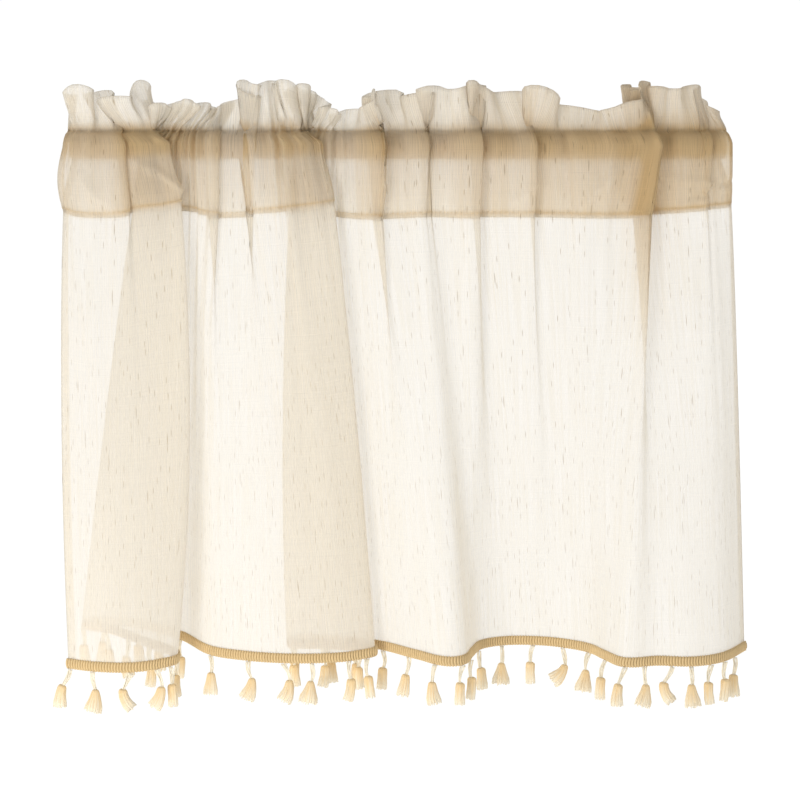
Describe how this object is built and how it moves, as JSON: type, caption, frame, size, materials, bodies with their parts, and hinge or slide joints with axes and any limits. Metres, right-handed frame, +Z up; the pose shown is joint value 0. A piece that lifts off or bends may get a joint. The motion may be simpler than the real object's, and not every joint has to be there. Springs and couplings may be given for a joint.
{
  "type": "cafe curtain on a rod",
  "caption": "Sheer slubbed linen-look cafe curtain with a ruffled rod pocket, gathered on a plain round rod, with a ribbed braid and tassels along its uneven hem.",
  "frame": {"origin": "centre of the rod's left end face, as seen from the room", "axes": "+X along the rod to its right end, +Z up, -Y towards the room (the curtain's face side)"},
  "size_m": [0.7571, 0.1544, 0.6635],
  "materials": {
    "cloth": "sheer open weave, matt, with darker slubs",
    "braid": "ribbed woven braid, matt",
    "tassel": "slack cord and skirt of loose yarns, matt",
    "rod": "satin"
  },
  "bodies": {
    "root": {"panel": "cloth", "hem_braid": "braid", "rod": "rod", "tassel_01": "tassel", "tassel_02": "tassel", "tassel_03": "tassel", "tassel_04": "tassel", "tassel_05": "tassel", "tassel_06": "tassel", "tassel_07": "tassel", "tassel_08": "tassel", "tassel_09": "tassel", "tassel_10": "tassel", "tassel_11": "tassel", "tassel_12": "tassel", "tassel_13": "tassel", "tassel_14": "tassel", "tassel_15": "tassel", "tassel_16": "tassel", "tassel_17": "tassel", "tassel_18": "tassel", "tassel_19": "tassel", "tassel_20": "tassel", "tassel_21": "tassel", "tassel_22": "tassel", "tassel_23": "tassel", "tassel_24": "tassel", "tassel_25": "tassel", "tassel_26": "tassel", "tassel_27": "tassel", "tassel_28": "tassel", "tassel_29": "tassel", "tassel_30": "tassel", "tassel_31": "tassel", "tassel_32": "tassel", "tassel_33": "tassel", "tassel_34": "tassel", "tassel_35": "tassel", "tassel_36": "tassel", "tassel_37": "tassel", "tassel_38": "tassel", "tassel_39": "tassel", "tassel_40": "tassel", "tassel_41": "tassel", "tassel_42": "tassel", "tassel_43": "tassel", "tassel_44": "tassel"}
  },
  "joints": []
}
